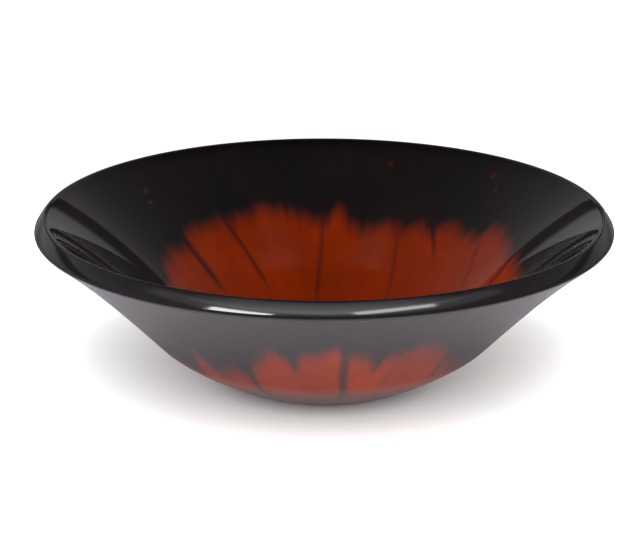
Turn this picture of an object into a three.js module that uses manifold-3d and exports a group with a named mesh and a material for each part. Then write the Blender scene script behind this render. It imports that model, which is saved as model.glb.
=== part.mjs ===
// Thick clear glass bowl with black and red enamel on its outer face and a gloss black lip.
// Millimetres, +Z up. The origin is the middle of the face that the bowl rests on.

import * as THREE from 'three';
import { mergeVertices } from 'three/addons/utils/BufferGeometryUtils.js';
import Module from 'manifold-3d';

// ---- driving dimensions ----
const RIM_RADIUS = 210;          // outermost point of the enamelled lip
const HEIGHT = 127.7;            // table to the top of the enamelled lip
const GLASS_THICKNESS = 13.7;    // the same from the lip to the base
const LIP_SLOPE = 37;            // degrees from level, wall direction at the lip
const LIP_CORNER = 2.4;          // ground round on both edges of the glass's lip
const BASE_RADIUS = 58;          // flat that the bowl stands on
const BELLY_RADIUS = 124.5;      // where the heel round runs into the flared wall
const BELLY_HEIGHT = 37.5;
const BELLY_SLOPE = 46;          // degrees from level
const HEEL_PULL = [9, 20];       // handle lengths of the heel curve, base end and belly end
const FLARE_PULL = [42, 39];     // handle lengths of the flare curve, belly end and lip end

const ENAMEL_THICKNESS = 0.4;
const CLEARANCE = 0.3;           // gap between faces that touch on the real bowl

const SIDES = 72;                // facets round the bowl
const CURVE_STEPS = 6;           // facets along each wall curve
const LOWER_ROUND = [-53, -35, -18, 0, 18, 37];    // directions of the points on the lip's rounds,
const UPPER_ROUND = [37, 54, 72, 90, 108, 127];    // in degrees from level
const ENAMELLED_ROUND = [37, 54, 72, 90];          // part of the upper one that the enamel covers
const FLAME_STEPS = 150;         // points round the edge between red and black

// Edge of the red field seen from above: [degrees from +X, radius].
const FLAME_EDGE = [
  [-172, 126], [-162, 131], [-152, 127], [-143, 129], [-134, 128], [-130, 140], [-127, 155],
  [-124.5, 131], [-117, 139], [-112, 138], [-108, 152], [-103.5, 166], [-100, 162], [-98, 149],
  [-95, 163], [-90.5, 167], [-87, 173], [-84, 166], [-80, 163], [-76, 148], [-74, 160],
  [-70, 162], [-65, 167], [-58.5, 161], [-54, 146], [-46, 133], [-35, 122], [-25, 120],
  [-15, 126], [-4, 138], [8, 155], [20, 159], [27, 166], [36, 170], [40, 161], [45, 160],
  [50, 165], [57.5, 158], [61, 162], [65, 156], [71.5, 158], [77, 154], [82, 159], [86, 167],
  [89.5, 160], [92, 158], [97, 163], [108, 168], [120, 164], [132, 160], [139, 152], [145, 151],
  [151, 148], [155, 136], [163, 129],
];

// Black brush streaks that run into the red: [degrees, inner radius, width].
const STREAKS = [
  [-152, 108, 3.5], [-112, 96, 3.5], [-84, 92, 6], [-53.5, 112, 4], [-20, 104, 3.5],
  [19, 112, 4], [54, 138, 4], [117, 118, 3], [135, 122, 5], [171, 106, 3.5],
];

// Red specks in the black: [degrees, radius, speck radius].
const SPECKS = [[138.5, 190, 2.2], [139.5, 182, 1.8], [47, 199, 2], [44, 190, 1.7], [74, 197, 1.8]];

// ---- the wall's outline, in a plane through the axis: x is radius, y is height ----
const rad = THREE.MathUtils.degToRad;
const heading = (degrees) => new THREE.Vector2(Math.cos(rad(degrees)), Math.sin(rad(degrees)));
const moved = (point, direction, distance) => point.clone().addScaledVector(direction, distance);
const GLASS_BOTTOM = ENAMEL_THICKNESS + CLEARANCE;
const outOfLip = heading(LIP_SLOPE);
const acrossLip = heading(LIP_SLOPE + 90);
const LIP_FLAT = GLASS_THICKNESS - 2 * LIP_CORNER;

const lowerRound = new THREE.Vector2(
  RIM_RADIUS - GLASS_BOTTOM - LIP_CORNER,
  HEIGHT - GLASS_BOTTOM - LIP_CORNER - LIP_FLAT * acrossLip.y,
);
const upperRound = moved(lowerRound, acrossLip, LIP_FLAT);
const baseEdge = new THREE.Vector2(BASE_RADIUS, GLASS_BOTTOM);
const belly = new THREE.Vector2(BELLY_RADIUS, BELLY_HEIGHT);
const wallEnd = moved(lowerRound, acrossLip, -LIP_CORNER);

const heelCurve = new THREE.CubicBezierCurve(
  baseEdge,
  moved(baseEdge, heading(0), HEEL_PULL[0]),
  moved(belly, heading(BELLY_SLOPE), -HEEL_PULL[1]),
  belly,
);
const flareCurve = new THREE.CubicBezierCurve(
  belly,
  moved(belly, heading(BELLY_SLOPE), FLARE_PULL[0]),
  moved(wallEnd, outOfLip, -FLARE_PULL[1]),
  wallEnd,
);

// Points of the wall from the base's edge to the lip, a distance outside the glass's outer face.
function wallPoints(distance, lastPart = 1) {
  const points = [];
  for (const curve of [heelCurve, flareCurve]) {
    const end = curve === flareCurve ? lastPart : 1;
    for (let step = points.length ? 1 : 0; step <= CURVE_STEPS; step += 1) {
      const place = (end * step) / CURVE_STEPS;
      const along = curve.getTangent(place);
      points.push(moved(curve.getPoint(place), new THREE.Vector2(along.y, -along.x), distance));
    }
  }
  return points;
}

function roundPoints(centre, turns, distance = 0) {
  return turns.map((turn) => moved(centre, heading(turn), LIP_CORNER + distance));
}

// ---- meshes and solids ----
const wasm = await Module();
wasm.setup();

// One closed mesh: shared vertices merged, slivers at the axis dropped, faces pointing out.
function closedGeometry(source) {
  const bare = new THREE.BufferGeometry();
  bare.setAttribute('position', source.getAttribute('position'));
  bare.setIndex(source.index);
  const merged = mergeVertices(bare, 1e-4);
  const corner = merged.getAttribute('position');
  const kept = [];
  let volume = 0;
  const [a, b, c] = [new THREE.Vector3(), new THREE.Vector3(), new THREE.Vector3()];
  for (let i = 0; i < merged.index.count; i += 3) {
    const triangle = [0, 1, 2].map((k) => merged.index.getX(i + k));
    if (new Set(triangle).size < 3) continue;
    kept.push(triangle);
    [a, b, c].forEach((vertex, k) => vertex.fromBufferAttribute(corner, triangle[k]));
    volume += a.dot(b.cross(c));
  }
  merged.setIndex(kept.flatMap(([p, q, r]) => (volume > 0 ? [p, q, r] : [p, r, q])));
  return merged;
}

function turned(profile) {
  return closedGeometry(new THREE.LatheGeometry(profile, SIDES).rotateX(Math.PI / 2));
}

function toSolid(source) {
  const geometry = closedGeometry(source);
  return new wasm.Manifold(new wasm.Mesh({
    numProp: 3,
    vertProperties: new Float32Array(geometry.getAttribute('position').array),
    triVerts: new Uint32Array(geometry.index.array),
  }));
}

function toGeometry(solid) {
  const { vertProperties, triVerts } = solid.getMesh();
  const geometry = new THREE.BufferGeometry();
  geometry.setAttribute('position', new THREE.BufferAttribute(vertProperties, 3));
  geometry.setIndex(new THREE.BufferAttribute(triVerts, 1));
  return geometry;
}

// ---- the clear glass ----
function glassGeometry() {
  const inner = wallPoints(-GLASS_THICKNESS).reverse();
  return turned([
    new THREE.Vector2(0, GLASS_BOTTOM),
    ...wallPoints(0),
    ...roundPoints(lowerRound, LOWER_ROUND.slice(1)),
    ...roundPoints(upperRound, UPPER_ROUND.slice(0, -1)),
    ...inner,
    new THREE.Vector2(0, GLASS_BOTTOM + GLASS_THICKNESS),
  ]);
}

// ---- the enamel ----
const lipPoints = (distance) => [
  ...roundPoints(lowerRound, LOWER_ROUND, distance),
  ...roundPoints(upperRound, ENAMELLED_ROUND, distance),
];

function lipGeometry() {
  const near = lipPoints(CLEARANCE);
  const far = lipPoints(CLEARANCE + ENAMEL_THICKNESS);
  return turned([...far, ...near.reverse(), far[0]]);
}

function enamelWall() {
  const top = 1 - CLEARANCE / flareCurve.getLength();
  const near = wallPoints(CLEARANCE, top);
  const far = wallPoints(CLEARANCE + ENAMEL_THICKNESS, top);
  near[0].x += CLEARANCE;
  far[0].x += CLEARANCE;
  return toSolid(new THREE.LatheGeometry([...far, ...near.reverse(), far[0]], SIDES).rotateX(Math.PI / 2));
}

function baseGeometry() {
  return turned([
    new THREE.Vector2(0, 0),
    new THREE.Vector2(BASE_RADIUS, 0),
    new THREE.Vector2(BASE_RADIUS, ENAMEL_THICKNESS),
    new THREE.Vector2(0, ENAMEL_THICKNESS),
  ]);
}

// A cutter as tall as the bowl over an outline, which is first moved out by a distance.
function cutter(outline, distance) {
  const count = outline.length;
  const grown = outline.map((point, i) => {
    const along = outline[(i + 1) % count].clone().sub(outline[(i + count - 1) % count]).normalize();
    return moved(point, new THREE.Vector2(along.y, -along.x), distance);
  });
  return toSolid(new THREE.ExtrudeGeometry(new THREE.Shape(grown), {
    depth: HEIGHT,
    bevelEnabled: false,
  }).translate(0, 0, -1));
}

function flameOutline() {
  const tips = FLAME_EDGE.map(([degrees, radius]) => {
    const point = heading(degrees).multiplyScalar(radius);
    return new THREE.Vector3(point.x, point.y, 0);
  });
  const edge = new THREE.CatmullRomCurve3(tips, true, 'centripetal');
  return edge.getSpacedPoints(FLAME_STEPS).slice(0, -1).map((point) => new THREE.Vector2(point.x, point.y));
}

// A streak is widest at its middle, and its outer end lies in the black.
function streakOutline([degrees, innerRadius, width]) {
  const outward = heading(degrees);
  const sideways = heading(degrees + 90);
  const outerRadius = RIM_RADIUS - 25;
  const shape = [[0, 0], [0.25, -0.4], [0.5, -0.5], [1, -0.5], [1, 0.5], [0.5, 0.5], [0.25, 0.4]];
  return shape.map(([share, side]) => {
    const centre = outward.clone().multiplyScalar(innerRadius + share * (outerRadius - innerRadius));
    return moved(centre, sideways, side * width);
  });
}

function speckOutline([degrees, radius, size]) {
  const centre = heading(degrees).multiplyScalar(radius);
  return Array.from({ length: 8 }, (_, i) => moved(centre, heading(i * 45), size));
}

function enamelSolids() {
  const wall = enamelWall();
  const flame = flameOutline();
  let red = wall.intersect(cutter(flame, 0));
  let black = wall.subtract(cutter(flame, CLEARANCE));
  for (const streak of STREAKS) {
    const outline = streakOutline(streak);
    red = red.subtract(cutter(outline, 0));
    black = black.add(wall.intersect(cutter(outline, -CLEARANCE)));
  }
  const specks = SPECKS.map((speck) => wall.intersect(cutter(speckOutline(speck), 0)));
  for (const speck of SPECKS) black = black.subtract(cutter(speckOutline(speck), CLEARANCE));
  return { red, black, specks };
}

// ---- the assembly ----
const clearGlass = { color: 0xb9c2c0, roughness: 0.04, metalness: 0, transparent: true, opacity: 0.35 };
const glossEnamel = { color: 0x141216, roughness: 0.12, metalness: 0 };
const blackEnamel = { color: 0x17141a, roughness: 0.45, metalness: 0 };
const redEnamel = { color: 0x8c2a0c, roughness: 0.45, metalness: 0 };

const bowl = new THREE.Group();

function place(name, geometry, finish) {
  const mesh = new THREE.Mesh(geometry, new THREE.MeshStandardMaterial(finish));
  mesh.name = name;
  bowl.add(mesh);
}

const enamel = enamelSolids();
place('glass_bowl', glassGeometry(), clearGlass);
place('lip_enamel', lipGeometry(), glossEnamel);
place('black_enamel', toGeometry(enamel.black), blackEnamel);
place('red_enamel', toGeometry(enamel.red), redEnamel);
place('base_enamel', baseGeometry(), redEnamel);
enamel.specks.forEach((speck, i) => place(`red_speck_${i + 1}`, toGeometry(speck), redEnamel));

export default bowl;
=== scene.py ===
"""Thick clear glass bowl, black and red enamel on its back, gloss black lip: looks and light."""

import math

import bmesh
import bpy
import numpy as np
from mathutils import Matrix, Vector, noise


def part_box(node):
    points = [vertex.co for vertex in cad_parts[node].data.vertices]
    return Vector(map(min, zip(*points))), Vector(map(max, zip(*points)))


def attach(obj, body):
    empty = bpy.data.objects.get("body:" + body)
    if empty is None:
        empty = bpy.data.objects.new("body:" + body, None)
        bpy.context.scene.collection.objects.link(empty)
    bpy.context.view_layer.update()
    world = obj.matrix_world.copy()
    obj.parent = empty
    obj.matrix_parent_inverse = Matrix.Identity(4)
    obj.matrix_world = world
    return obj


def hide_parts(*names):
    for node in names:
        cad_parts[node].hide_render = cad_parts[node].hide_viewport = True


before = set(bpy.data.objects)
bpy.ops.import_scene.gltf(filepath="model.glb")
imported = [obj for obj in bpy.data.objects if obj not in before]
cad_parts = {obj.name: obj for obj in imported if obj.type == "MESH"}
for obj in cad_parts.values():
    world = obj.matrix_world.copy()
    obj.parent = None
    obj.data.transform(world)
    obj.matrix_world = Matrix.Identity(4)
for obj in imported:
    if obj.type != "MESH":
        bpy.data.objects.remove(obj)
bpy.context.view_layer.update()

MM = 0.001                                    # sizes below are in millimetres

# ---- sizes, from the frame where it holds them ----
RIM_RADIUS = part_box("lip_enamel")[1].x / MM
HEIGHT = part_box("lip_enamel")[1].z / MM
GLASS_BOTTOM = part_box("glass_bowl")[0].z / MM
BASE_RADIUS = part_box("base_enamel")[1].x / MM
GLASS_THICKNESS = 13.7
LIP_SLOPE = 37                                # degrees from level
LIP_CORNER = 2.4                              # ground round on both edges of the glass's lip
LIP_CROWN = 6                                 # degrees that the lip's face leans at its edges
BELLY = (124.5, 37.5)                         # radius and height where heel and flare meet
BELLY_SLOPE = 46
HEEL_PULL = (9, 20)                           # reach of the heel curve's two handles
FLARE_PULL = (42, 39)                         # and of the flare curve's
COAT_DEPTH = 0.05                             # enamel bitten into the glass, so the two are bonded
COAT_PROUD = GLASS_BOTTOM                     # enamel outside the glass
LIP_COAT_FADE = (62, 100)                     # the lip's enamel thins out over this part of its round

# ---- how finely the pieces are divided ----
SIDES = 720                                   # columns round the enamel
GLASS_SIDES = 480                             # columns round the glass
WALL_STEPS = 26                               # rows up each wall curve of the glass
FLAT_STEPS = 12                               # points across the glass's floor
ROUND_STEPS = 12
FACE_STEPS = 12
BLACK_ROWS = 50
RED_ROWS = 60
BASE_RINGS = 24
SPECK_SIDES = 24
SPECK_LOOKUP = 400                            # wall points that a speck's height is read from
FLAME_LOOKUP = 2000                           # wall points that the flame edge's height is read from
WELD_DISTANCE = 0.001
SHARP_EDGE = 40                               # degrees past which a coat's edge is shaded sharp

# ---- the painted pattern, seen from above: degrees from +X and radius ----
FLAME_EDGE = [
    (-172, 126), (-162, 131), (-152, 127), (-143, 129), (-134, 128), (-130, 140), (-127, 155),
    (-124.5, 131), (-117, 139), (-112, 138), (-108, 152), (-103.5, 166), (-100, 162), (-98, 149),
    (-95, 163), (-90.5, 167), (-87, 173), (-84, 166), (-80, 163), (-76, 148), (-74, 160),
    (-70, 162), (-65, 167), (-58.5, 161), (-54, 146), (-46, 133), (-35, 122), (-25, 120),
    (-15, 126), (-4, 138), (8, 155), (20, 159), (27, 166), (36, 170), (40, 161), (45, 160),
    (50, 165), (57.5, 158), (61, 162), (65, 156), (71.5, 158), (77, 154), (82, 159), (86, 167),
    (89.5, 160), (92, 158), (97, 163), (108, 168), (120, 164), (132, 160), (139, 152), (145, 151),
    (151, 148), (155, 136), (163, 129),
]
STREAK_INNER_FADE = (-8, 16)                  # a streak comes in over this part past its inner end
STREAK_OUTER_FADE = (10, -4)                  # and goes out over this part past its outer end
STREAK_SIDE_FADE = (1.8, 0.3)                 # across it, in half widths
STREAK_TAPER = 0.45                           # share of the width that is left at both ends
WANDER_WIDTH = 0.1                            # how far a streak wanders, as a share of its width
WANDER_LENGTH = 9
# Black brush streaks in the red: degrees and radius of the inner end, the same of the outer end,
# width, strength.
STREAKS = [
    (-152, 104, -153, 132, 4, 0.8), (-128, 128, -127, 158, 9, 0.4),
    (-111.5, 92, -112.3, 152, 4.5, 0.85), (-82.6, 84, -85.6, 178, 6, 0.85),
    (-70, 84, -71, 140, 4, 0.3), (-52.5, 112, -55, 152, 5, 0.7),
    (-20, 104, -19, 150, 4, 0.8), (18, 112, 20, 162, 4, 0.7), (31, 124, 38, 158, 3.5, 0.35),
    (50.5, 138, 57.5, 162, 4.5, 0.8), (61.5, 104, 67, 150, 3, 0.4), (93.3, 98, 90, 162, 3.5, 0.5),
    (112.5, 114, 120.8, 166, 3.2, 0.7), (132.5, 118, 136.5, 158, 5.5, 0.8),
    (171, 104, 172, 130, 3.5, 0.8),
]
SPECK_UNEVEN = 0.35                           # how uneven a speck's outline is
SPECK_BITE = 2.5                              # how deep a speck lies in the glass, in coat depths
# Red specks in the black: the CAD node, degrees, radius, speck radius.
SPECKS = [
    ("red_speck_1", 138.5, 190, 2.2), ("red_speck_2", 139.5, 182, 1.8),
    ("red_speck_3", 47, 199, 2.0), ("red_speck_4", 44, 190, 1.7), ("red_speck_5", 74, 197, 1.8),
]


# ---- the wall's outline: radius and height, in millimetres ----
def heading(degrees):
    return np.array([math.cos(math.radians(degrees)), math.sin(math.radians(degrees))])


OUT_OF_LIP, ACROSS_LIP = heading(LIP_SLOPE), heading(LIP_SLOPE + 90)
LIP_FLAT = GLASS_THICKNESS - 2 * LIP_CORNER
LOWER_ROUND = np.array([
    RIM_RADIUS - COAT_PROUD - LIP_CORNER,
    HEIGHT - COAT_PROUD - LIP_CORNER - LIP_FLAT * ACROSS_LIP[1],
])
UPPER_ROUND = LOWER_ROUND + LIP_FLAT * ACROSS_LIP
CROWN_REACH = LIP_FLAT / 2 / math.sin(math.radians(LIP_CROWN))
CROWN_CENTRE = (LOWER_ROUND + UPPER_ROUND) / 2 - CROWN_REACH * math.cos(
    math.radians(LIP_CROWN)) * OUT_OF_LIP
WALL_END = LOWER_ROUND - LIP_CORNER * ACROSS_LIP
BASE_EDGE = np.array([BASE_RADIUS, GLASS_BOTTOM])
HEEL_CURVE = [
    BASE_EDGE, BASE_EDGE + HEEL_PULL[0] * heading(0),
    np.array(BELLY) - HEEL_PULL[1] * heading(BELLY_SLOPE), np.array(BELLY),
]
FLARE_CURVE = [
    np.array(BELLY), np.array(BELLY) + FLARE_PULL[0] * heading(BELLY_SLOPE),
    WALL_END - FLARE_PULL[1] * OUT_OF_LIP, WALL_END,
]


def curve_points(handles, places):
    """Points of a cubic Bezier curve and its directions there."""
    a, b, c, d = handles
    t = np.asarray(places)[:, None]
    points = (1 - t) ** 3 * a + 3 * (1 - t) ** 2 * t * b + 3 * (1 - t) * t**2 * c + t**3 * d
    along = (1 - t) ** 2 * (b - a) + 2 * (1 - t) * t * (c - b) + t**2 * (d - c)
    return points, along / np.linalg.norm(along, axis=1)[:, None]


def wall_line(places, outside):
    """The wall's points at places from 0, the base's edge, to 1, the lip, at a distance outside it."""
    places = np.asarray(places)
    heel, heel_way = curve_points(HEEL_CURVE, np.clip(places * 2, 0, 1))
    flare, flare_way = curve_points(FLARE_CURVE, np.clip(places * 2 - 1, 0, 1))
    low = (places < 0.5)[:, None]
    points, way = np.where(low, heel, flare), np.where(low, heel_way, flare_way)
    return points + outside * np.stack([way[:, 1], -way[:, 0]], 1)


def lip_line(outside):
    """The lip's points from the wall round to the inside, with the turn that each one faces.

    outside gives the distance from the glass for a turn in degrees.
    """
    low, high = LIP_SLOPE - LIP_CROWN, LIP_SLOPE + LIP_CROWN
    points, turns = [], []
    for centre, reach, first, last, steps in (
        (LOWER_ROUND, LIP_CORNER, LIP_SLOPE - 90, low, ROUND_STEPS),
        (CROWN_CENTRE, CROWN_REACH + LIP_CORNER, low, high, FACE_STEPS),
        (UPPER_ROUND, LIP_CORNER, high, LIP_SLOPE + 90, ROUND_STEPS),
    ):
        for turn in np.linspace(first, last, steps + 1)[:-1]:
            points.append(centre + (reach + outside(turn)) * heading(turn))
            turns.append(turn)
    return np.array(points), np.array(turns)


def glass_outline():
    rows = np.linspace(0, 1, 2 * WALL_STEPS + 1)
    flat = np.linspace(0, 1, FLAT_STEPS)[:-1, None] * [[BASE_RADIUS, 0]]
    return np.concatenate([
        flat + [[0, GLASS_BOTTOM]],
        wall_line(rows, 0),
        lip_line(lambda turn: 0)[0][1:],
        wall_line(rows, -GLASS_THICKNESS)[::-1],
        (flat + [[0, GLASS_BOTTOM + GLASS_THICKNESS]])[::-1],
    ])


def lip_coat_outline():
    """The lip's enamel, which thins to nothing where the lip turns inwards."""
    def outside(turn):
        return COAT_PROUD - (COAT_PROUD + COAT_DEPTH) * ramp(turn, *LIP_COAT_FADE)

    outer, turns = lip_line(outside)
    inner = lip_line(lambda turn: -COAT_DEPTH)[0]
    kept = turns < LIP_COAT_FADE[1]
    return np.concatenate([outer[kept], inner[kept][::-1], outer[:1]])


# ---- small helpers ----
def ramp(value, start, end):
    """Rises smoothly from 0 at start to 1 at end."""
    share = np.clip((value - start) / (end - start), 0, 1)
    return share * share * (3 - 2 * share)


def add(tree, kind, inputs=None, **settings):
    """Adds a node with its settings, and its inputs as values or links."""
    node = tree.nodes.new(kind)
    for name, value in settings.items():
        setattr(node, name, value)
    for name, value in (inputs or {}).items():
        if isinstance(value, bpy.types.NodeSocket):
            tree.links.new(value, node.inputs[name])
        else:
            node.inputs[name].default_value = value
    return node


def linear(code):
    """An sRGB hex colour as the linear colour that shaders take."""
    parts = [int(code[i:i + 2], 16) / 255 for i in (1, 3, 5)]
    return [c / 12.92 if c <= 0.04045 else ((c + 0.055) / 1.055) ** 2.4 for c in parts] + [1]


def new_object(name, mesh):
    piece = bpy.data.objects.new(name, mesh)
    bpy.context.scene.collection.objects.link(piece)
    return piece


def smooth(mesh):
    mesh.polygons.foreach_set("use_smooth", np.ones(len(mesh.polygons), bool))
    return mesh


def face_out(mesh):
    """Merges doubles and turns every face outwards."""
    form = bmesh.new()
    form.from_mesh(mesh)
    bmesh.ops.remove_doubles(form, verts=form.verts, dist=2 * WELD_DISTANCE * MM)
    bmesh.ops.recalc_face_normals(form, faces=form.faces)
    form.to_mesh(mesh)
    form.free()
    return mesh


# ---- the clear glass and the lip's enamel, turned from their outlines by geometry nodes ----
def turning_tree():
    """Turns the object's own line of points about Z."""
    tree = bpy.data.node_groups.new("turn_outline", "GeometryNodeTree")
    tree.interface.new_socket("Outline", in_out="INPUT", socket_type="NodeSocketGeometry")
    for name, kind in (("Sides", "Int"), ("Weld distance", "Float"), ("Finish", "Material")):
        tree.interface.new_socket(name, in_out="INPUT", socket_type=f"NodeSocket{kind}")
    tree.interface.new_socket("Turned piece", in_out="OUTPUT", socket_type="NodeSocketGeometry")
    given = add(tree, "NodeGroupInput").outputs
    count = add(tree, "GeometryNodeAttributeDomainSize", {"Geometry": given["Outline"]}).outputs[0]
    columns = add(tree, "ShaderNodeMath", {0: given["Sides"], 1: 1.0}, operation="ADD").outputs[0]
    grid = add(tree, "GeometryNodeMeshGrid", {"Vertices X": columns, "Vertices Y": count})
    index = add(tree, "GeometryNodeInputIndex").outputs[0]
    row = add(tree, "ShaderNodeMath", {0: index, 1: count}, operation="MODULO").outputs[0]
    column = add(tree, "ShaderNodeMath", {0: index, 1: count}, operation="DIVIDE").outputs[0]
    column = add(tree, "ShaderNodeMath", {0: column}, operation="FLOOR").outputs[0]
    share = add(tree, "ShaderNodeMath", {0: column, 1: given["Sides"]}, operation="DIVIDE").outputs[0]
    turn = add(tree, "ShaderNodeMath", {0: share, 1: math.tau}, operation="MULTIPLY").outputs[0]
    place = add(tree, "GeometryNodeInputPosition").outputs[0]
    point = add(
        tree, "GeometryNodeSampleIndex",
        {"Geometry": given["Outline"], "Value": place, "Index": row}, data_type="FLOAT_VECTOR",
    ).outputs[0]
    turned = add(
        tree, "ShaderNodeVectorRotate", {"Vector": point, "Angle": turn}, rotation_type="Z_AXIS"
    ).outputs[0]
    moved = add(tree, "GeometryNodeSetPosition", {"Geometry": grid.outputs["Mesh"], "Position": turned})
    welded = add(
        tree, "GeometryNodeMergeByDistance",
        {"Geometry": moved.outputs[0], "Distance": given["Weld distance"]},
    )
    whole = add(tree, "GeometryNodeRealizeInstances", {"Geometry": welded.outputs[0]})
    finished = add(
        tree, "GeometryNodeSetMaterial", {"Geometry": whole.outputs[0], "Material": given["Finish"]}
    )
    add(tree, "NodeGroupOutput", {"Turned piece": finished.outputs[0]})
    return tree


def turned(name, outline, sides, material, tree):
    """A piece turned from its outline, which ends on the axis or where it began."""
    points = [(radius * MM, 0, height * MM) for radius, height in outline]
    line = bpy.data.meshes.new(name + "_outline")
    line.from_pydata(points, [(i, i + 1) for i in range(len(points) - 1)], [])
    maker = new_object(name + "_outline", line)
    turning = maker.modifiers.new("turning", "NODES")
    sockets = {s.name: s.identifier for s in tree.interface.items_tree if s.in_out == "INPUT"}
    turning.node_group = tree
    turning[sockets["Sides"]] = sides
    turning[sockets["Weld distance"]] = WELD_DISTANCE * MM
    turning[sockets["Finish"]] = material
    depsgraph = bpy.context.evaluated_depsgraph_get()
    made = bpy.data.meshes.new_from_object(maker.evaluated_get(depsgraph))
    bpy.data.objects.remove(maker)
    made.name = name
    return new_object(name, smooth(face_out(made)))


def glass_side_first(lip_coat, glass_side, gloss):
    """Gives the faces that lie on the glass their own finish."""
    mesh = lip_coat.data
    mesh.materials.clear()
    mesh.materials.append(glass_side)
    mesh.materials.append(gloss)
    middle = (LOWER_ROUND + UPPER_ROUND) / 2
    for face in mesh.polygons:
        outward = Vector((face.center.x, face.center.y, 0)).normalized()
        place = np.array([outward.dot(face.center), face.center.z]) / MM
        along = np.clip((place - middle) @ ACROSS_LIP, -LIP_FLAT / 2, LIP_FLAT / 2)
        way = place - middle - along * ACROSS_LIP
        facing = np.array([outward.dot(face.normal), face.normal.z])
        face.material_index = int(facing @ way > 0)


# ---- the enamel, laid on the glass's outer face ----
def flame_radius(degrees):
    """The red field's outer radius in each direction, smooth between the tips."""
    turns = np.array([tip[0] for tip in FLAME_EDGE], float)
    radii = np.array([tip[1] for tip in FLAME_EDGE], float)
    turns = np.concatenate([turns[-2:] - 360, turns, turns[:2] + 360])
    radii = np.concatenate([radii[-2:], radii, radii[:2]])
    at = np.clip(np.searchsorted(turns, degrees, side="right") - 1, 1, len(turns) - 3)
    share = (degrees - turns[at]) / (turns[at + 1] - turns[at])
    eased = share * share * (3 - 2 * share)
    return radii[at] * (1 - eased) + radii[at + 1] * eased


def streak_strength(degrees, radius):
    """How black the brush streaks are at each point, from 0 to 1."""
    black = np.zeros_like(radius)
    for inner_turn, inner, outer_turn, outer, width, strength in STREAKS:
        along = (radius - inner) / (outer - inner)
        turn = degrees - inner_turn - (outer_turn - inner_turn) * along
        turn = (turn + 180) % 360 - 180
        wander = WANDER_WIDTH * width * np.sin(radius / WANDER_LENGTH + inner_turn)
        aside = np.abs(np.radians(turn) * radius + wander) / (0.5 * width)
        ends = ramp(radius - inner, *STREAK_INNER_FADE) * ramp(radius - outer, *STREAK_OUTER_FADE)
        narrow = STREAK_TAPER + (1 - STREAK_TAPER) * ends
        sides = ramp(aside, STREAK_SIDE_FADE[0] * narrow, STREAK_SIDE_FADE[1] * narrow)
        black = np.maximum(black, strength * ends * sides)
    return black


def paint(mesh):
    """Stores, for each point, how far inside the red field it lies, in mm, and its streaks."""
    points = np.empty(len(mesh.vertices) * 3, np.float32)
    mesh.vertices.foreach_get("co", points)
    x, y = points.reshape(-1, 3)[:, 0] / MM, points.reshape(-1, 3)[:, 1] / MM
    degrees, radius = np.degrees(np.arctan2(y, x)), np.hypot(x, y)
    for name, values in (
        ("inside_red", flame_radius(degrees) - radius),
        ("streak", streak_strength(degrees, radius)),
    ):
        layer = mesh.attributes.new(name, "FLOAT", "POINT")
        layer.data.foreach_set("value", values.astype(np.float32))


def coat(name, low, high, rows, glass_side, back):
    """A closed coat between two edges, each given as a place on the wall for every column."""
    turns = np.radians(np.arange(SIDES) * 360 / SIDES - 180)
    shares = np.linspace(0, 1, rows)
    places = low[:, None] + (high - low)[:, None] * shares
    sheets = []
    for outside in (-COAT_DEPTH, COAT_PROUD):
        line = wall_line(places.ravel(), outside).reshape(SIDES, rows, 2) * MM
        across = line[:, :, 0]
        sheets.append(np.stack([
            across * np.cos(turns)[:, None], across * np.sin(turns)[:, None], line[:, :, 1],
        ], 2))
    points = np.stack(sheets).reshape(-1, 3)
    number = np.arange(2 * SIDES * rows).reshape(2, SIDES, rows)
    after = np.roll(number, -1, axis=1)
    inner = [number[0, :, :-1], number[0, :, 1:], after[0, :, 1:], after[0, :, :-1]]
    outer = [number[1, :, :-1], after[1, :, :-1], after[1, :, 1:], number[1, :, 1:]]
    first = [number[0, :, 0], after[0, :, 0], after[1, :, 0], number[1, :, 0]]
    last = [number[0, :, -1], number[1, :, -1], after[1, :, -1], after[0, :, -1]]
    quads = [np.stack(q, -1).reshape(-1, 4) for q in (inner, outer, first, last)]
    mesh = bpy.data.meshes.new(name)
    mesh.from_pydata(points.tolist(), [], np.concatenate(quads).tolist())
    mesh.materials.append(glass_side)
    mesh.materials.append(back)
    sheet = len(quads[0])
    slots = np.ones(len(mesh.polygons), np.int32)
    slots[:sheet] = 0
    mesh.polygons.foreach_set("material_index", slots)
    smooth(mesh).set_sharp_from_angle(angle=math.radians(SHARP_EDGE))
    paint(mesh)
    return new_object(name, mesh)


def base_coat(name, glass_side, back):
    """The enamel under the flat, a closed disc."""
    rings = np.linspace(0, BASE_RADIUS, BASE_RINGS)[1:] * MM
    turns = np.arange(SIDES) * math.tau / SIDES
    form = bmesh.new()
    for height, slot in (((GLASS_BOTTOM + COAT_DEPTH) * MM, 0), (0, 1)):
        centre = form.verts.new((0, 0, height))
        before = None
        for ring in rings:
            verts = [form.verts.new((ring * math.cos(t), ring * math.sin(t), height)) for t in turns]
            for i in range(SIDES):
                j = (i + 1) % SIDES
                corners = [centre, verts[i], verts[j]] if before is None else [
                    before[i], verts[i], verts[j], before[j]]
                form.faces.new(corners).material_index = slot
            before = verts
        if slot == 0:
            upper = before
    for i in range(SIDES):
        j = (i + 1) % SIDES
        form.faces.new([upper[i], upper[j], before[j], before[i]]).material_index = 1
    bmesh.ops.recalc_face_normals(form, faces=form.faces)
    mesh = bpy.data.meshes.new(name)
    form.to_mesh(mesh)
    form.free()
    mesh.materials.append(glass_side)
    mesh.materials.append(back)
    paint(mesh)
    return new_object(name, mesh)


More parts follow.
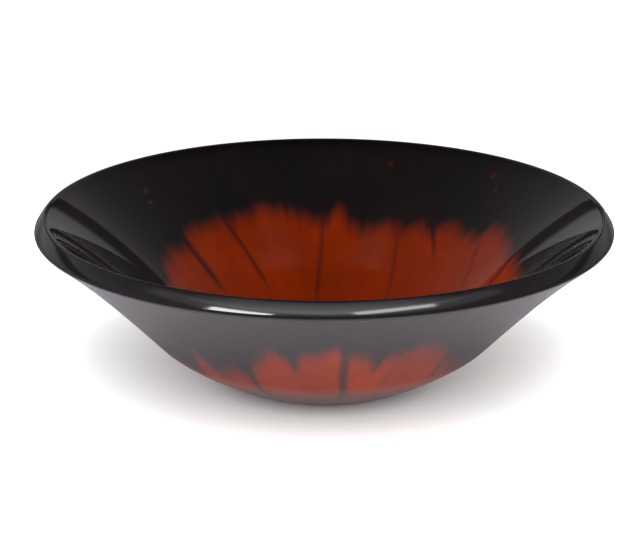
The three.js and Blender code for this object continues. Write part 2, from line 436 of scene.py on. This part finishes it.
def speck(name, degrees, radius, size, material):
    """A small uneven drop of red, pressed between the black coat and the glass."""
    centre = Vector((*(heading(degrees) * radius), 0))
    rim = []
    for i in range(SPECK_SIDES):
        way = Vector((*heading(i * 360 / SPECK_SIDES), 0))
        uneven = SPECK_UNEVEN * noise.noise(way * 1.3 + centre)
        rim.append(centre + way * size * (1 + uneven))
    places = np.linspace(0, 1, SPECK_LOOKUP)
    form = bmesh.new()
    layers = []
    for outside in (-SPECK_BITE * COAT_DEPTH, COAT_PROUD - COAT_DEPTH):
        line = wall_line(places, outside)
        layer = []
        for point in [centre, *rim]:
            lie = np.interp(point.length, line[:, 0], line[:, 1])
            layer.append(form.verts.new((point.x * MM, point.y * MM, lie * MM)))
        layers.append(layer)
        for i in range(SPECK_SIDES):
            form.faces.new([layer[0], layer[1 + i], layer[1 + (i + 1) % SPECK_SIDES]])
    for i in range(SPECK_SIDES):
        j = 1 + (i + 1) % SPECK_SIDES
        form.faces.new([layers[0][1 + i], layers[0][j], layers[1][j], layers[1][1 + i]])
    bmesh.ops.recalc_face_normals(form, faces=form.faces)
    mesh = bpy.data.meshes.new(name)
    form.to_mesh(mesh)
    form.free()
    mesh.materials.append(material)
    return new_object(name, mesh)


# ---- materials: pattern sizes in millimetres ----
BRUSH_HAIRS = 8.33                            # from one hair's mark to the next, at BRUSH_RADIUS
BRUSH_RADIUS = 150
THICK_PATCH = 45.45                           # from one thick patch of a coat to the next
SPRAY_BUMP = 1.54
LIP_WAVE = 6.25
RAGGED = 2.4                                  # how far the brush hairs carry the flame edge
FRONT_FADE = (-4, 12)                         # the red comes in over this part inside the flame edge
BACK_FADE = (-7, 17)                          # hazier on the back, where the colours overlap
BRUSH_SHARE = 0.35                            # how much the hairs count in a coat's thickness
HEEL_SHADE_SHEEN = (18, 32)                          # the painted shade and sheen on the heel goes out between these heights
# how much of the heel's colour the painted shade and sheen takes
HEEL_SHADE_SHEEN_SHARE = 0.65


def per_size(size):
    """The noise scale that repeats about once in a size in millimetres."""
    return 1 / (size * MM)


def new_material(name):
    material = bpy.data.materials.new(name)
    material.use_nodes = True
    material.node_tree.nodes.clear()
    return material, material.node_tree


def clear_glass():
    """Soda-lime sheet glass, slumped and polished: clear, bends light, mirrors at a glance."""
    material, tree = new_material("slumped_clear_glass")
    glass = add(tree, "ShaderNodeBsdfPrincipled", {
        "Base Color": linear("#F6F9F8"), "Roughness": 0.015, "IOR": 1.52, "Transmission Weight": 1.0,
    })
    open_way = add(tree, "ShaderNodeBsdfTransparent", {"Color": linear("#EEF0F0")})
    path = add(tree, "ShaderNodeLightPath")
    both = add(tree, "ShaderNodeMixShader", {
        0: path.outputs["Is Shadow Ray"], 1: glass.outputs[0], 2: open_way.outputs[0],
    })
    add(tree, "ShaderNodeOutputMaterial", {"Surface": both.outputs[0]})
    return material


def enamel_colour(tree, red, black, fade):
    """The painted colour, with brush grain along the wall.

    The red comes in over the part of the flame edge that fade gives, in millimetres inside it.
    """
    place = add(tree, "ShaderNodeTexCoord").outputs["Object"]
    flat = add(tree, "ShaderNodeVectorMath", {0: place, 1: (1, 1, 0)}, operation="MULTIPLY").outputs[0]
    radius = add(tree, "ShaderNodeVectorMath", {0: flat}, operation="LENGTH").outputs["Value"]
    way = add(tree, "ShaderNodeVectorMath", {0: flat}, operation="NORMALIZE").outputs[0]
    depth = add(tree, "ShaderNodeCombineXYZ", {"Z": radius}).outputs[0]
    grain_place = add(tree, "ShaderNodeVectorMath", {0: way, 1: depth}, operation="ADD").outputs[0]
    # brush hairs lie side by side round the wall and run long down it
    brush = add(tree, "ShaderNodeTexNoise", {
        "Vector": grain_place, "Scale": BRUSH_RADIUS / BRUSH_HAIRS, "Detail": 3.0, "Roughness": 0.5,
    }).outputs["Fac"]
    cloud = add(tree, "ShaderNodeTexNoise", {
        "Vector": place, "Scale": per_size(THICK_PATCH), "Detail": 4.0, "Roughness": 0.6,
    }).outputs["Fac"]
    inside = add(tree, "ShaderNodeAttribute", attribute_name="inside_red").outputs["Fac"]
    streak = add(tree, "ShaderNodeAttribute", attribute_name="streak").outputs["Fac"]
    ragged = add(tree, "ShaderNodeMapRange", {
        "Value": brush, "From Min": 0.3, "From Max": 0.7, "To Min": -RAGGED, "To Max": RAGGED,
    }).outputs[0]
    edge = add(tree, "ShaderNodeMath", {0: inside, 1: ragged}, operation="ADD").outputs[0]
    red_share = add(tree, "ShaderNodeMapRange", {
        "Value": edge, "From Min": fade[0], "From Max": fade[1],
    }, interpolation_type="SMOOTHSTEP").outputs[0]
    left = add(tree, "ShaderNodeMath", {0: 1.0, 1: streak}, operation="SUBTRACT").outputs[0]
    red_share = add(tree, "ShaderNodeMath", {0: red_share, 1: left}, operation="MULTIPLY").outputs[0]
    # the coat is thicker in some patches than in others, and a little so in some brush strokes
    faint = add(tree, "ShaderNodeMath", {0: brush, 1: BRUSH_SHARE}, operation="MULTIPLY").outputs[0]
    laid = add(tree, "ShaderNodeMath", {0: faint, 1: cloud}, operation="ADD").outputs[0]
    thick = add(tree, "ShaderNodeMapRange", {
        "Value": laid, "From Min": 0.4, "From Max": 0.95,
    }).outputs[0]
    reds = add(tree, "ShaderNodeMix", {
        "Factor": thick, "A": linear(red[0]), "B": linear(red[1]),
    }, data_type="RGBA")
    blacks = add(tree, "ShaderNodeMix", {
        "Factor": thick, "A": linear(black[0]), "B": linear(black[1]),
    }, data_type="RGBA")
    return add(tree, "ShaderNodeMix", {
        "Factor": red_share, "A": blacks.outputs["Result"], "B": reds.outputs["Result"],
    }, data_type="RGBA").outputs["Result"]


def enamel_on_glass(name):
    """Enamel seen through the glass that it is fused to: full colour, no gloss of its own."""
    material, tree = new_material(name)
    colour = enamel_colour(tree, ("#7A2200", "#942C00"), ("#131314", "#201617"), FRONT_FADE)
    paint_layer = add(tree, "ShaderNodeBsdfPrincipled", {
        "Base Color": colour, "Roughness": 0.9, "Specular IOR Level": 0.0,
    })
    add(tree, "ShaderNodeOutputMaterial", {"Surface": paint_layer.outputs[0]})
    return material


def enamel_back(name):
    """The enamel's own dried face: satin, so it takes a pale haze from what lies round it."""
    material, tree = new_material(name)
    place = add(tree, "ShaderNodeTexCoord").outputs["Object"]
    # painted shade and sheen: the heel goes toward a dark pinkish grey, standing in for the shade under
    # the bowl and the floor's grazing reflection
    height = add(tree, "ShaderNodeSeparateXYZ", {0: place}).outputs["Z"]
    heel_shade_sheen = add(tree, "ShaderNodeMapRange", {
        "Value": height, "From Min": HEEL_SHADE_SHEEN[0] * MM, "From Max": HEEL_SHADE_SHEEN[1] * MM,
        "To Min": HEEL_SHADE_SHEEN_SHARE, "To Max": 0.0,
    }, interpolation_type="SMOOTHSTEP").outputs[0]
    clean = enamel_colour(tree, ("#761F06", "#A03608"), ("#262529", "#2E292A"), BACK_FADE)
    # the painted shade and sheen is laid over the heel here
    colour = add(tree, "ShaderNodeMix", {
        "Factor": heel_shade_sheen, "A": clean, "B": linear("#33262A"),
    }, data_type="RGBA").outputs["Result"]
    # the sprayed coat's fine bumps break its gloss up into a satin haze
    spray = add(tree, "ShaderNodeTexNoise", {
        "Vector": place, "Scale": per_size(SPRAY_BUMP), "Detail": 2.0,
    })
    bump = add(tree, "ShaderNodeBump", {
        "Height": spray.outputs["Fac"], "Strength": 0.25, "Distance": 0.05 * MM,
    })
    paint_layer = add(tree, "ShaderNodeBsdfPrincipled", {
        "Base Color": colour, "Roughness": 0.3, "IOR": 1.5, "Normal": bump.outputs[0],
    })
    add(tree, "ShaderNodeOutputMaterial", {"Surface": paint_layer.outputs[0]})
    return material


def speck_material():
    """A drop of the red that the black has partly covered."""
    material, tree = new_material("red_enamel_speck")
    paint_layer = add(tree, "ShaderNodeBsdfPrincipled", {
        "Base Color": linear("#4A1C12"), "Roughness": 0.9, "Specular IOR Level": 0.0,
    })
    add(tree, "ShaderNodeOutputMaterial", {"Surface": paint_layer.outputs[0]})
    return material


def gloss_enamel():
    """Brushed gloss enamel on the lip: black, and wet-looking, with shallow brush waves."""
    material, tree = new_material("gloss_black_enamel")
    place = add(tree, "ShaderNodeTexCoord").outputs["Object"]
    # shallow waves that the brush left, which bend the reflections a little
    waves = add(tree, "ShaderNodeTexNoise", {
        "Vector": place, "Scale": per_size(LIP_WAVE), "Detail": 1.0,
    })
    bump = add(tree, "ShaderNodeBump", {
        "Height": waves.outputs["Fac"], "Strength": 0.3, "Distance": 0.02 * MM,
    })
    tint = add(tree, "ShaderNodeMix", {
        "Factor": waves.outputs["Fac"], "A": linear("#080709"), "B": linear("#120E10"),
    }, data_type="RGBA")
    enamel = add(tree, "ShaderNodeBsdfPrincipled", {
        "Base Color": tint.outputs["Result"], "Roughness": 0.09, "IOR": 1.52,
        "Normal": bump.outputs[0],
    })
    add(tree, "ShaderNodeOutputMaterial", {"Surface": enamel.outputs[0]})
    return material


# ---- the pieces ----
def make_pieces():
    red_front, red_behind = enamel_on_glass("red_enamel_on_glass"), enamel_back("red_enamel_back")
    black_front = enamel_on_glass("black_enamel_on_glass")
    black_behind = enamel_back("black_enamel_back")
    gloss = gloss_enamel()
    tree = turning_tree()
    lip_coat = turned("lip_coat", lip_coat_outline(), SIDES, gloss, tree)
    glass_side_first(lip_coat, black_front, gloss)
    paint(lip_coat.data)
    places = np.linspace(0, 1, FLAME_LOOKUP)
    columns = np.arange(SIDES) * 360 / SIDES - 180
    flame = np.interp(flame_radius(columns), wall_line(places, 0)[:, 0], places)
    pieces = [
        (turned("clear_bowl", glass_outline(), GLASS_SIDES, clear_glass(), tree),
         "clear_glass", ["glass_bowl"]),
        (lip_coat, "gloss_black_enamel", ["lip_enamel"]),
        (coat("black_coat", flame, np.ones(SIDES), BLACK_ROWS, black_front, black_behind),
         "black_enamel", ["black_enamel"]),
        (coat("red_coat", np.zeros(SIDES), flame, RED_ROWS, red_front, red_behind),
         "red_enamel", ["red_enamel"]),
        (base_coat("base_coat", red_front, red_behind), "red_enamel", ["base_enamel"]),
    ]
    drop = speck_material()
    for node, degrees, radius, size in SPECKS:
        pieces.append((speck(node.replace("red", "drop"), degrees, radius, size, drop),
                       "red_enamel", [node]))
    for piece, slot, nodes in pieces:
        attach(piece, "root")
        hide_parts(*nodes)


# ---- floor, light and camera ----
FLOOR_RADIUS = 0.5
FLOOR_SIDES = 96
# Painted light and shade on the floor as the bowl's gloss sees it, by distance from the middle: light
# by the base, a darker ring, a lighter ring, dark towards the edge.
FLOOR_LIGHT_SHADE_IN_GLOSS = [
    (0.07, "#F4F0F2"), (0.11, "#A4A1A5"), (0.13, "#A4A1A5"), (0.16, "#C6C2C8"), (0.3, "#C6C2C8"),
    (0.42, "#5A585C"),
]
# The studio's brightness by height above the horizon, in degrees: the pale table's surroundings,
# a dark gap, and dim walls under a dark ceiling.
WALLS = [
    (-90, 0.15), (-12, 0.2), (-5, 0.22), (-1, 0.13), (5, 0.31), (13, 0.31), (15.5, 0.04), (20, 0.04),
    (21, 0.28), (32, 0.18), (50, 0.08), (65, 0.04), (90, 0.03),
]
# A long soft box on the camera's side, brightest along its lower edge.
SOFT_BOX = [(44, 0), (48, 2.5), (51, 2.1), (55, 1.7), (60, 1.5), (64, 1.1), (68, 0.25), (70, 0)]
# Its dimmer ends, which wrap round to both sides.
BOX_ENDS = [(36, 0), (40, 0.5), (46, 0.5), (50, 0)]
# Where the box and its ends come in, by the Y part of the way to them.
FRONT_SIDE = (-0.1, -0.66)
BOTH_SIDES = (0.02, -0.14)
WALL_LIGHT = (1.4, 0.8)                       # the walls' brightness, from left to right
BACKDROP = 1.1
# Lamps: azimuth and elevation in degrees, then distance, width, depth and brightness.
LAMPS = [
    ("lamp_left", -34, 34.5, 2.2, 0.8, 0.5, 19), ("lamp_right", 31, 45, 2.4, 1.1, 0.2, 8),
]
# Fills: azimuth, elevation and spread in degrees, then strength.
FILLS = [("fill_left", -50, 50, 86, 4.9), ("fill_right", 50, 50, 86, 4.9)]


def colour_ramp(tree, value, stops):
    """A colour ramp from its stops, each given as a position and a colour."""
    shade = add(tree, "ShaderNodeValToRGB", {"Fac": value})
    elements = shade.color_ramp.elements
    while len(elements) < len(stops):
        elements.new(1)
    for element, (position, colour) in zip(elements, stops):
        element.position, element.color = position, colour
    return shade.outputs["Color"]


def make_floor():
    turns = np.arange(FLOOR_SIDES) * math.tau / FLOOR_SIDES
    mesh = bpy.data.meshes.new("floor")
    rim = [(FLOOR_RADIUS * math.cos(t), FLOOR_RADIUS * math.sin(t), 0) for t in turns]
    mesh.from_pydata(rim, [], [tuple(range(len(rim)))])
    floor = new_object("floor", mesh)
    material, tree = new_material("white_paper")
    # burnt out to white for the camera; in the bowl's gloss, a grey of painted light and shade by
    # distance from the middle
    path = add(tree, "ShaderNodeLightPath")
    place = add(tree, "ShaderNodeTexCoord").outputs["Object"]
    reach = add(tree, "ShaderNodeVectorMath", {0: place}, operation="LENGTH").outputs["Value"]
    grey = colour_ramp(tree, reach, [(radius, linear(tint)) for radius, tint in FLOOR_LIGHT_SHADE_IN_GLOSS])
    tone = add(tree, "ShaderNodeMix", {
        "Factor": path.outputs["Is Camera Ray"], "A": grey, "B": linear("#F4F4F4"),
    }, data_type="RGBA")
    paper = add(tree, "ShaderNodeBsdfPrincipled", {
        "Base Color": tone.outputs["Result"], "Roughness": 0.9, "Specular IOR Level": 0.0,
    })
    add(tree, "ShaderNodeOutputMaterial", {"Surface": paper.outputs[0]})
    mesh.materials.append(material)


def height_ramp(tree, height, levels):
    """Brightness that goes by height, given as degrees above the horizon."""
    share = add(tree, "ShaderNodeMapRange", {"Value": height, "From Min": -1.0}).outputs[0]
    return colour_ramp(tree, share, [
        ((1 + math.sin(math.radians(degrees))) / 2, (level, level, level, 1))
        for degrees, level in levels
    ])


def make_room():
    """Dim walls with a soft box, behind a backdrop that looks plain white."""
    world = bpy.data.worlds.new("studio")
    bpy.context.scene.world = world
    world.use_nodes = True
    tree = world.node_tree
    tree.nodes.clear()
    way = add(tree, "ShaderNodeTexCoord").outputs["Generated"]
    part = add(tree, "ShaderNodeSeparateXYZ", {0: way}).outputs
    front, side = [
        add(tree, "ShaderNodeMapRange", {
            "Value": part["Y"], "From Min": start, "From Max": end,
        }, interpolation_type="SMOOTHSTEP").outputs[0]
        for start, end in (FRONT_SIDE, BOTH_SIDES)
    ]
    left = add(tree, "ShaderNodeMapRange", {
        "Value": part["X"], "From Min": -1.0, "To Min": WALL_LIGHT[0], "To Max": WALL_LIGHT[1],
    }).outputs[0]
    walls = add(tree, "ShaderNodeBackground", {
        "Color": height_ramp(tree, part["Z"], WALLS), "Strength": left,
    })
    box = add(tree, "ShaderNodeBackground", {
        "Color": height_ramp(tree, part["Z"], SOFT_BOX), "Strength": front,
    })
    ends = add(tree, "ShaderNodeBackground", {
        "Color": height_ramp(tree, part["Z"], BOX_ENDS), "Strength": side,
    })
    boxes = add(tree, "ShaderNodeAddShader", {0: box.outputs[0], 1: ends.outputs[0]})
    room = add(tree, "ShaderNodeAddShader", {0: walls.outputs[0], 1: boxes.outputs[0]})
    backdrop = add(tree, "ShaderNodeBackground", {"Color": (1, 1, 1, 1), "Strength": BACKDROP})
    path = add(tree, "ShaderNodeLightPath")
    both = add(tree, "ShaderNodeMixShader", {
        0: path.outputs["Is Camera Ray"], 1: room.outputs[0], 2: backdrop.outputs[0],
    })
    add(tree, "ShaderNodeOutputWorld", {"Surface": both.outputs[0]})


def toward(azimuth, elevation):
    """The way to a light. Azimuth 0 is the camera's side and 90 the right."""
    a, e = math.radians(azimuth), math.radians(elevation)
    return Vector((math.sin(a) * math.cos(e), -math.cos(a) * math.cos(e), math.sin(e)))


def hang(name, light, way, distance):
    holder = bpy.data.objects.new(name, light)
    holder.location = way * distance + Vector((0, 0, 0.06))
    holder.rotation_euler = way.to_track_quat("Z", "Y").to_euler()
    bpy.context.scene.collection.objects.link(holder)
    return holder


def make_lamp(name, azimuth, elevation, distance, width, depth, brightness):
    """A small bright panel that only shows in the gloss."""
    light = bpy.data.lights.new(name, "AREA")
    light.shape = "RECTANGLE"
    light.size, light.size_y = width, depth
    light.energy = brightness * math.pi * width * depth
    lamp = hang(name, light, toward(azimuth, elevation), distance)
    lamp.visible_diffuse = lamp.visible_transmission = False


def make_fill(name, azimuth, elevation, spread, strength):
    """Wide, even light, kept out of the gloss as a polarising filter keeps it out."""
    light = bpy.data.lights.new(name, "SUN")
    light.angle = math.radians(spread)
    light.energy = strength
    fill = hang(name, light, toward(azimuth, elevation), 3)
    fill.visible_glossy = fill.visible_transmission = False


CAMERA_DISTANCE = 1.8
CAMERA_ELEVATION = 18.47
CAMERA_TARGET = Vector((0, 0, 0.07))
CAMERA_LENS = 138.8
CAMERA_AIM = (0.175, 0.39)        # degrees that the view turns left and up from the target
CAMERA_ROLL = -0.08


def make_camera():
    lens = bpy.data.cameras.new("camera")
    lens.lens = CAMERA_LENS
    lens.sensor_width = 36
    camera = bpy.data.objects.new("camera", lens)
    e = math.radians(CAMERA_ELEVATION)
    back = Vector((0, -math.cos(e), math.sin(e)))
    camera.location = CAMERA_TARGET + back * CAMERA_DISTANCE
    camera.rotation_mode = "XYZ"
    camera.rotation_euler = (
        math.radians(90 - CAMERA_ELEVATION + CAMERA_AIM[1]), math.radians(CAMERA_ROLL),
        math.radians(CAMERA_AIM[0]),
    )
    bpy.context.scene.collection.objects.link(camera)
    bpy.context.scene.camera = camera


make_pieces()
make_floor()
make_room()
for lamp in LAMPS:
    make_lamp(*lamp)
for fill in FILLS:
    make_fill(*fill)
make_camera()
bpy.context.scene.view_settings.view_transform = "Standard"
